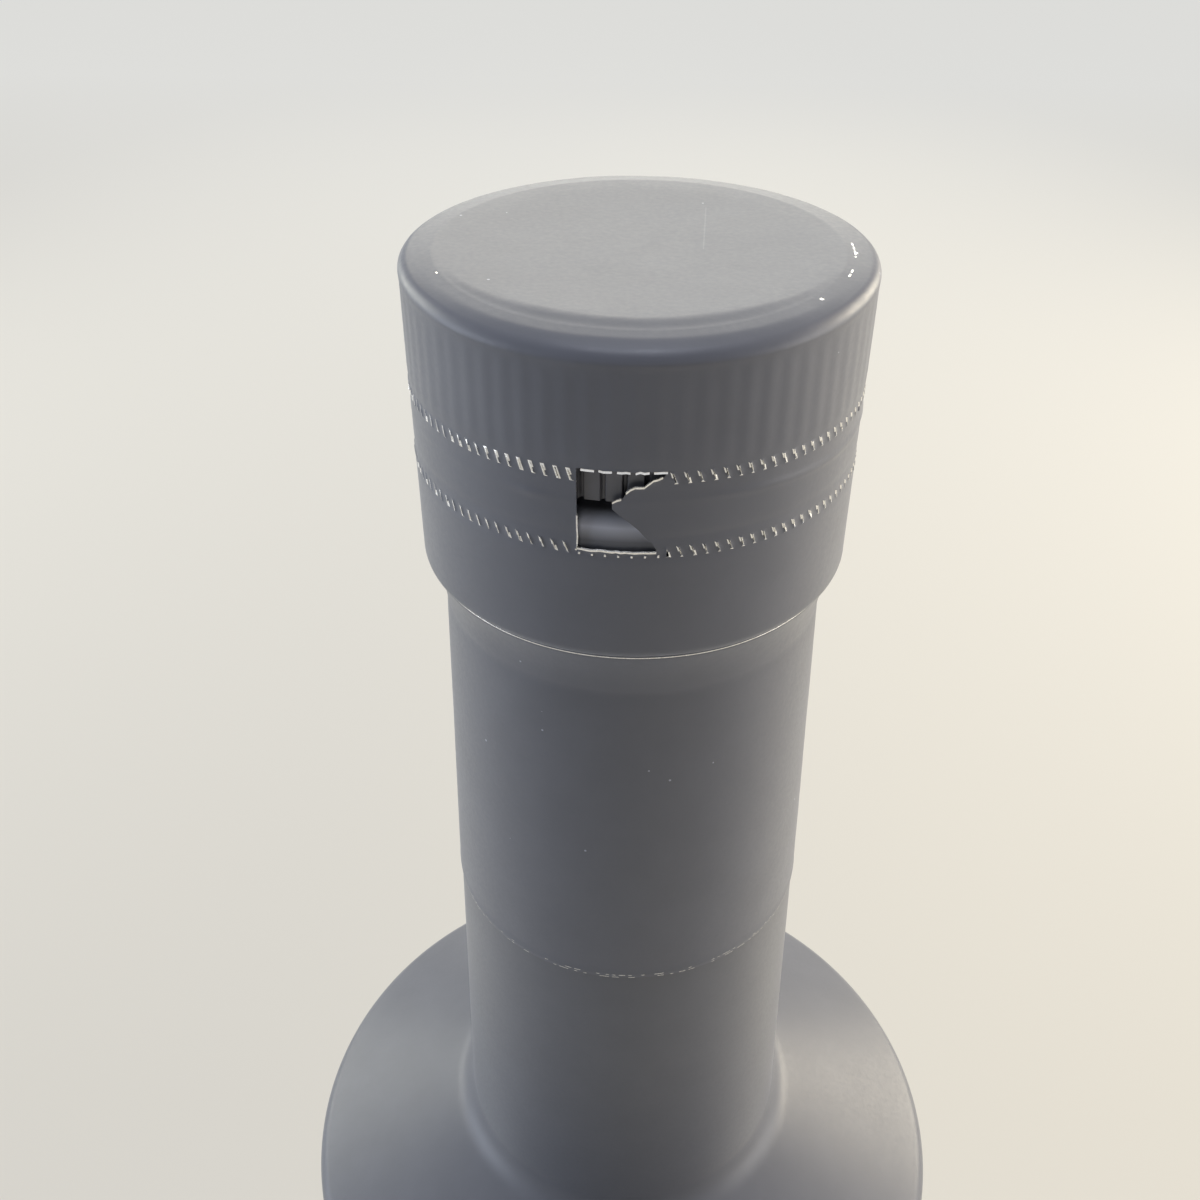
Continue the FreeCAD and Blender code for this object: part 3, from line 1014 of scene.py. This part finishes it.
def shape_foil(piece, capsule):
    """Press the flutes, the creases, the dents and the soft unevenness into the foil."""
    row = upper_row(capsule)
    low_row = row - capsule.row_apart
    crease = row + capsule.rim_height - 0.3 * MM
    top = row + capsule.slit_reach + capsule.slit_margin

    rim_foot = row + 7.3 * MM

    def front(azimuth):
        return 1 - ease(abs(azimuth + math.radians(1)), math.radians(20), math.radians(80))

    def rim_front(azimuth, height, radius):
        share = front(azimuth)
        if height < rim_foot + 0.1 * MM or share == 0:
            return 0.0
        edge = capsule.edge_radius + (capsule.front_edge - capsule.edge_radius) * share
        run = max(capsule.edge_radius - edge, 0.05 * MM)
        past = 0.4 * ease(radius, edge - 0.5 * MM, edge + 1.1 * run)
        past += 0.6 * ease(radius, capsule.edge_radius + 0.8 * MM, 17.15 * MM)
        return share * past * ease(height, rim_foot, rim_foot + 1.8 * MM)

    def flutes(azimuth, height, radius):
        if not top < height < crease:
            return 0.0
        along_side = ease(height, top, top + 1.2 * MM)
        along_side *= 1 - ease(height, crease - 1.2 * MM, crease)
        return along_side * (0.5 - 0.5 * math.cos(capsule.flutes * azimuth))

    def rim_crease(azimuth, height, radius):
        left = bell(azimuth - math.radians(-56), math.radians(18))
        return left * bell(height - (row + 7.7 * MM), 0.16 * MM)

    def joint_line(azimuth, height, radius):
        right = ease(azimuth, math.radians(8), math.radians(30))
        left = bell(azimuth - math.radians(-24), math.radians(4))
        wave = 0.15 * MM * math.sin(5 * azimuth)
        return bell(height - (row - 1.5 * MM) - wave, 0.3 * MM) * (0.2 + 0.8 * max(right, left))

    def hollow_line(azimuth, height, radius):
        right = bell(azimuth - math.radians(29), math.radians(18))
        return bell(height - (low_row + 1.4 * MM), 0.35 * MM) * (0.5 + 0.5 * right)

    def neck_dent(azimuth, height, radius):
        return bell(height - (row - 19.1 * MM), 0.35 * MM)

    press(piece, capsule.front_drop, rim_front, "Z")
    press(piece, capsule.flute_depth, flutes)
    press(piece, -0.04 * MM, rim_crease)
    press(piece, -0.09 * MM, joint_line)
    press(piece, 0.06 * MM, hollow_line)
    press(piece, 0.04 * MM, neck_dent)
    roughen(piece, "soft_unevenness", 7 * MM, 0.05 * MM)
    roughen(piece, "fine_unevenness", 1.6 * MM, 0.012 * MM)


class WHISKY_OT_capsule(bpy.types.Operator):
    """Draw up the foil capsule, perforate it and tear its strip open"""

    bl_idname = "whisky.capsule"
    bl_label = "Capsule"

    def execute(self, context):
        capsule = context.scene.whisky_capsule
        glass = context.scene.whisky_glass
        finish = context.scene.whisky_finish
        wall = Wall(capsule)
        rows = ((wall.high, 1), (wall.low, 0))

        rings = capsule_rings(capsule, glass)
        piece = add_ring("foil_capsule", capsule.columns, rings[0], start=capsule.tear_start)
        piece.data.materials.append(
            lacquer("lacquered_foil", finish.foil_colour, rough=(0.38, 0.48),
                    relief=(2200.0, 0.3), marks=wall.row + TOP_RISE))
        piece.data.materials.append(bare_foil(finish.bare_colour))
        bpy.ops.mesh.select_all(action="SELECT")
        extrude_rings(rings[0], rings[1:])
        close_top()

        for height, first in rows:
            cut_row(piece, wall, height, first)
        paint_bare(piece, torn_lip(wall, rows))
        # Painted highlight lines of bare foil along the hem and the crease, with the rim's arc and
        # specks.
        paint_bare(piece, scuffed(glass, wall.row))
        tear_window(piece, wall)
        curl_edges(piece, wall)
        select(piece, "FACE", slit_end(wall))
        bpy.ops.mesh.inset(thickness=0.085 * MM, use_individual=True)
        move_out(0.05 * MM, capsule.band_radius)
        bpy.ops.transform.translate(value=(0, 0, -0.05 * MM))
        piece.active_material_index = 1
        bpy.ops.object.material_slot_assign()

        select_whole(piece)
        shape_foil(piece, capsule)
        thicken = piece.modifiers.new("foil", "SOLIDIFY")
        thicken.thickness = capsule.foil
        thicken.offset = -1
        thicken.use_even_offset = False
        thicken.material_offset_rim = 1
        bpy.ops.object.modifier_apply(modifier="foil")
        bpy.ops.object.shade_smooth_by_angle(angle=math.radians(38))
        seat_piece(piece, "lacquered_foil", "capsule")
        return {"FINISHED"}


# ---------------------------------------------------------------- the stopper

def stopper_rings(stopper):
    """The stopper's outline as rings, from its seat up to the middle of its top."""
    radius = STOPPER_HIGH.x - stopper.inset
    seat = STOPPER_LOW.z
    top = seat + stopper.top_height
    rings = [(radius, seat)]
    add_line(rings, (radius, seat + stopper.rib_height), 3)
    add_line(rings, (radius, seat + stopper.rib_height + 0.2 * MM))
    rings += [(radius - 0.3 * MM, top - stopper.top_round),
              (radius - 1.4 * MM, top - 0.45 * stopper.top_round),
              (radius - 3.8 * MM, top - 0.1 * stopper.top_round), (2 * MM, top)]
    return rings


class WHISKY_OT_stopper(bpy.types.Operator):
    """Turn the stopper's head and press in the grooves between its ribs"""

    bl_idname = "whisky.stopper"
    bl_label = "Stopper"

    def execute(self, context):
        stopper = context.scene.whisky_stopper
        finish = context.scene.whisky_finish
        rings = stopper_rings(stopper)
        columns = stopper.ribs * stopper.rib_columns
        piece = add_ring("ribbed_stopper", columns, rings[0], fill="TRIFAN",
                         start=stopper.rib_turn)
        select(piece, "EDGE", lambda edge: len(edge.link_faces) == 1)
        extrude_rings(rings[0], rings[1:])
        close_top()
        pitch = math.tau / columns
        rib_top = STOPPER_LOW.z + stopper.rib_height + 0.1 * MM

        def in_groove(point):
            steps = round((azimuth_of(point.co) - stopper.rib_turn) / pitch)
            return (steps % stopper.rib_columns < 2 and point.co.z < rib_top
                    and radius_of(point.co) > 0.9 * rings[0][0])

        select(piece, "VERT", in_groove)
        move_out(-stopper.rib_depth, rings[0][0])
        select_whole(piece)
        bpy.ops.object.shade_smooth_by_angle(angle=math.radians(35))
        piece.data.materials.append(dark_plastic(finish.stopper_colour))
        seat_piece(piece, "stopper_plastic", "stopper")
        return {"FINISHED"}


# ---------------------------------------------------------------- the studio

def add_lamp(name, place, size, power, colour):
    """A soft square lamp that shines on the middle of the bottle's height."""
    start_clean()
    bpy.ops.object.light_add(type="AREA", location=place)
    lamp = bpy.context.object
    lamp.name = name
    lamp.data.size = size
    lamp.data.energy = power
    lamp.data.color = colour
    lamp.rotation_euler = (LAMP_AIM - lamp.location).to_track_quat("-Z", "Y").to_euler()


class WHISKY_OT_studio(bpy.types.Operator):
    """Set up the pale floor, the soft lamps and the camera"""

    bl_idname = "whisky.studio"
    bl_label = "Studio"

    def execute(self, context):
        studio = context.scene.whisky_studio
        finish = context.scene.whisky_finish
        row = upper_row(context.scene.whisky_capsule)

        start_clean()
        bpy.ops.mesh.primitive_circle_add(vertices=96, radius=FLOOR_RADIUS,
                                          fill_type="NGON", location=(0, 0, 0))
        floor = bpy.context.object
        floor.name = "floor"
        floor.data.materials.append(pale_floor(finish))

        for name, place, size, colour in LAMPS:
            add_lamp(name, place, size, getattr(studio, name), colour)

        world = bpy.data.worlds.new("soft_sky")
        context.scene.world = world
        world.use_nodes = True
        sky = world.node_tree.nodes["Background"]
        sky.inputs["Color"].default_value = (0.96, 0.97, 1.0, 1.0)
        world.node_tree.links.new(backdrop_share(world.node_tree, studio.sky),
                                  sky.inputs["Strength"])

        bpy.ops.object.camera_add(location=(0, -studio.camera_back, row + studio.camera_above))
        camera = bpy.context.object
        aim = (Matrix.Rotation(studio.camera_left, 4, "Z")
               @ Matrix.Rotation(math.pi / 2 - studio.camera_down, 4, "X")
               @ Matrix.Rotation(studio.camera_roll, 4, "Z"))
        camera.rotation_euler = aim.to_euler()
        camera.data.sensor_width = 36.0
        camera.data.lens = studio.camera_lens
        camera.data.shift_x = studio.camera_shift
        camera.data.clip_start = 0.005
        camera.data.clip_end = 50.0
        context.scene.camera = camera
        context.scene.view_settings.view_transform = "Standard"
        return {"FINISHED"}


# ---------------------------------------------------------------- the add-on

class WHISKY_PT_panel(bpy.types.Panel):
    """Lists the steps that build the bottle"""

    bl_idname = "WHISKY_PT_panel"
    bl_label = "Whisky bottle"
    bl_space_type = "VIEW_3D"
    bl_region_type = "UI"
    bl_category = "Bottle"

    def draw(self, context):
        for step in STEPS:
            self.layout.operator(step.bl_idname)


GROUPS = {
    "whisky_glass": WHISKY_PG_glass,
    "whisky_stopper": WHISKY_PG_stopper,
    "whisky_capsule": WHISKY_PG_capsule,
    "whisky_finish": WHISKY_PG_finish,
    "whisky_studio": WHISKY_PG_studio,
}
STEPS = (WHISKY_OT_bottle, WHISKY_OT_stopper, WHISKY_OT_capsule, WHISKY_OT_studio)


def register():
    """Register the size groups, the operators and the panel."""
    for name, group in GROUPS.items():
        bpy.utils.register_class(group)
        setattr(bpy.types.Scene, name, bpy.props.PointerProperty(type=group))
    for item in STEPS + (WHISKY_PT_panel,):
        bpy.utils.register_class(item)


def unregister():
    """Take everything back out."""
    for item in (WHISKY_PT_panel,) + STEPS[::-1]:
        bpy.utils.unregister_class(item)
    for name, group in GROUPS.items():
        delattr(bpy.types.Scene, name)
        bpy.utils.unregister_class(group)


def main():
    """Build every piece."""
    register()
    bpy.ops.whisky.bottle()
    bpy.ops.whisky.stopper()
    bpy.ops.whisky.capsule()
    bpy.ops.whisky.studio()


if __name__ == "__main__":
    main()
